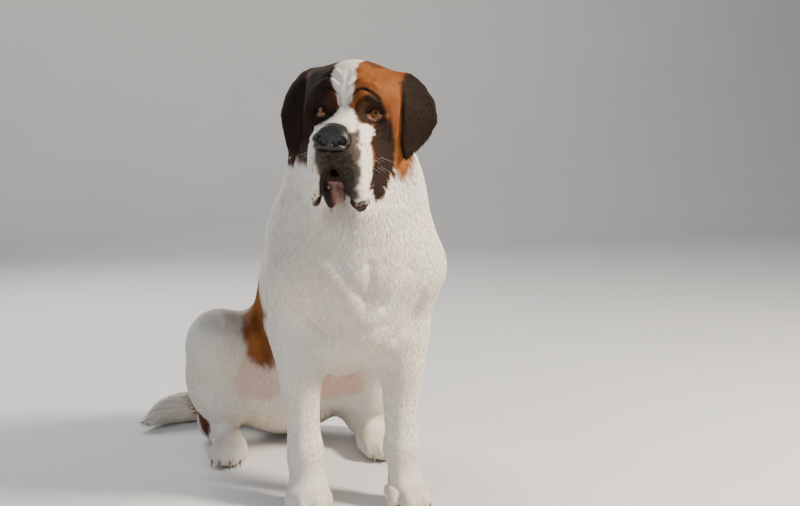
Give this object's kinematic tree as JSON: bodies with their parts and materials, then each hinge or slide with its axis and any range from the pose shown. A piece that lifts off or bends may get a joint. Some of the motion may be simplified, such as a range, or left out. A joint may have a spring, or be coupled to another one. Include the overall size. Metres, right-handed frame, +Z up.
{
  "type": "saint bernard dog model",
  "caption": "Life-size still model of a short-coated Saint Bernard sitting upright on the floor, head turned a little to its right, tail laid round behind it",
  "frame": {"origin": "middle of the bounding box, on the floor that the dog sits on", "axes": "+Z up; the dog looks along -Y and its left side is +X; the longest way, from forepaws to tail, is Y"},
  "size_m": [0.6422, 1.0242, 0.9561],
  "materials": {
    "white_coat": "soft short fur",
    "brown_coat": "soft short fur",
    "dark_coat": "soft short fur",
    "nose_skin": "moist, finely grained",
    "eye": "wet gloss"
  },
  "bodies": {
    "root": {"chest": "white_coat", "belly": "brown_coat", "rump": "brown_coat", "neck": "white_coat", "tail_root": "brown_coat", "tail_end": "white_coat", "left_shoulder": "white_coat", "left_foreleg": "white_coat", "left_forepaw": "white_coat", "right_shoulder": "white_coat", "right_foreleg": "white_coat", "right_forepaw": "white_coat", "left_thigh": "brown_coat", "left_shank": "white_coat", "left_hind_foot": "white_coat", "left_hindpaw": "white_coat", "right_thigh": "white_coat", "right_shank": "white_coat", "right_hind_foot": "white_coat", "right_hindpaw": "white_coat", "face": "dark_coat", "skull": "dark_coat", "left_ear": "dark_coat", "right_ear": "dark_coat", "lower_jaw": "dark_coat", "nose": "nose_skin", "left_eye": "eye", "right_eye": "eye"}
  },
  "joints": []
}
